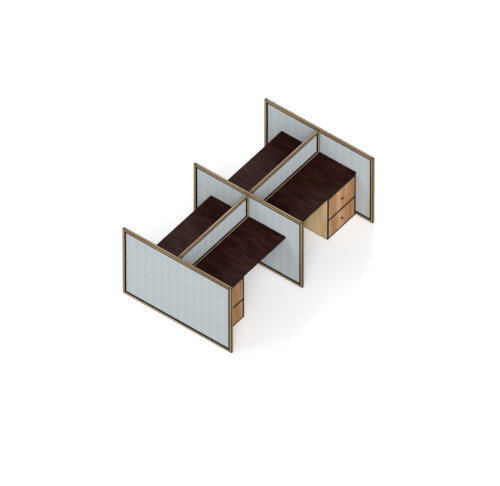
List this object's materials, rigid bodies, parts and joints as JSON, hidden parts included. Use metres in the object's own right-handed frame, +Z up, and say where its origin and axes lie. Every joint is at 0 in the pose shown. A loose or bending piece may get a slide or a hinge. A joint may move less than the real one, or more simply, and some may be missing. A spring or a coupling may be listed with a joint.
{
  "type": "cubicle workstation",
  "caption": "Cluster of back-to-back desks between wood-framed fabric screens, with a drawer pedestal under each worktop.",
  "frame": {"origin": "on the floor, under the middle of the middle screen, which is the bottom centre of the whole object", "axes": "+X across the screens to the right-hand seats, +Y along the spine from the front screen to the back screen, +Z up"},
  "size_m": [1.8, 3.035, 1.2],
  "materials": {
    "frame_oak": "satin lacquered oak",
    "screen_fabric": "plain woven pale grey",
    "worktop_laminate": "dark wenge, satin",
    "carcass_oak": "light oak, satin",
    "drawer_beech": "warm beech, satin",
    "drawer_ply": "sealed birch",
    "knob_metal": "dark turned metal",
    "support_steel": "black powder coat",
    "gasket_rubber": "matt black, round the fabric boards"
  },
  "bodies": {
    "root": {"front_screen_left_stile": "frame_oak", "front_screen_right_stile": "frame_oak", "front_screen_top_rail": "frame_oak", "front_screen_bottom_rail": "frame_oak", "front_screen_infill": "screen_fabric", "middle_screen_left_stile": "frame_oak", "middle_screen_right_stile": "frame_oak", "middle_screen_top_rail": "frame_oak", "middle_screen_bottom_rail": "frame_oak", "middle_screen_infill": "screen_fabric", "back_screen_left_stile": "frame_oak", "back_screen_right_stile": "frame_oak", "back_screen_top_rail": "frame_oak", "back_screen_bottom_rail": "frame_oak", "back_screen_infill": "screen_fabric", "front_spine_front_stile": "frame_oak", "front_spine_back_stile": "frame_oak", "front_spine_top_rail": "frame_oak", "front_spine_bottom_rail": "frame_oak", "front_spine_infill": "screen_fabric", "back_spine_front_stile": "frame_oak", "back_spine_back_stile": "frame_oak", "back_spine_top_rail": "frame_oak", "back_spine_bottom_rail": "frame_oak", "back_spine_infill": "screen_fabric", "front_left_worktop": "worktop_laminate", "front_right_worktop": "worktop_laminate", "back_left_worktop": "worktop_laminate", "back_right_worktop": "worktop_laminate", "front_worktop_support": "support_steel", "back_worktop_support": "support_steel", "front_left_carcass": "carcass_oak", "front_right_carcass": "carcass_oak", "back_left_carcass": "carcass_oak", "back_right_carcass": "carcass_oak"},
    "front_left_upper_drawer": {"front_left_upper_box": "drawer_ply", "front_left_upper_front": "drawer_beech", "front_left_upper_knob": "knob_metal"},
    "front_left_lower_drawer": {"front_left_lower_box": "drawer_ply", "front_left_lower_front": "drawer_beech", "front_left_lower_knob": "knob_metal"},
    "front_right_upper_drawer": {"front_right_upper_box": "drawer_ply", "front_right_upper_front": "drawer_beech", "front_right_upper_knob": "knob_metal"},
    "front_right_lower_drawer": {"front_right_lower_box": "drawer_ply", "front_right_lower_front": "drawer_beech", "front_right_lower_knob": "knob_metal"},
    "back_left_upper_drawer": {"back_left_upper_box": "drawer_ply", "back_left_upper_front": "drawer_beech", "back_left_upper_knob": "knob_metal"},
    "back_left_lower_drawer": {"back_left_lower_box": "drawer_ply", "back_left_lower_front": "drawer_beech", "back_left_lower_knob": "knob_metal"},
    "back_right_upper_drawer": {"back_right_upper_box": "drawer_ply", "back_right_upper_front": "drawer_beech", "back_right_upper_knob": "knob_metal"},
    "back_right_lower_drawer": {"back_right_lower_box": "drawer_ply", "back_right_lower_front": "drawer_beech", "back_right_lower_knob": "knob_metal"}
  },
  "joints": [
    {"name": "front_left_upper_slide", "type": "slide", "parent": "root", "child": "front_left_upper_drawer", "axis": [-1, 0, 0], "range_m": [0, 0.4]},
    {"name": "front_left_lower_slide", "type": "slide", "parent": "root", "child": "front_left_lower_drawer", "axis": [-1, 0, 0], "range_m": [0, 0.4]},
    {"name": "front_right_upper_slide", "type": "slide", "parent": "root", "child": "front_right_upper_drawer", "axis": [1, 0, 0], "range_m": [0, 0.4]},
    {"name": "front_right_lower_slide", "type": "slide", "parent": "root", "child": "front_right_lower_drawer", "axis": [1, 0, 0], "range_m": [0, 0.4]},
    {"name": "back_left_upper_slide", "type": "slide", "parent": "root", "child": "back_left_upper_drawer", "axis": [-1, 0, 0], "range_m": [0, 0.4]},
    {"name": "back_left_lower_slide", "type": "slide", "parent": "root", "child": "back_left_lower_drawer", "axis": [-1, 0, 0], "range_m": [0, 0.4]},
    {"name": "back_right_upper_slide", "type": "slide", "parent": "root", "child": "back_right_upper_drawer", "axis": [1, 0, 0], "range_m": [0, 0.4]},
    {"name": "back_right_lower_slide", "type": "slide", "parent": "root", "child": "back_right_lower_drawer", "axis": [1, 0, 0], "range_m": [0, 0.4]}
  ]
}
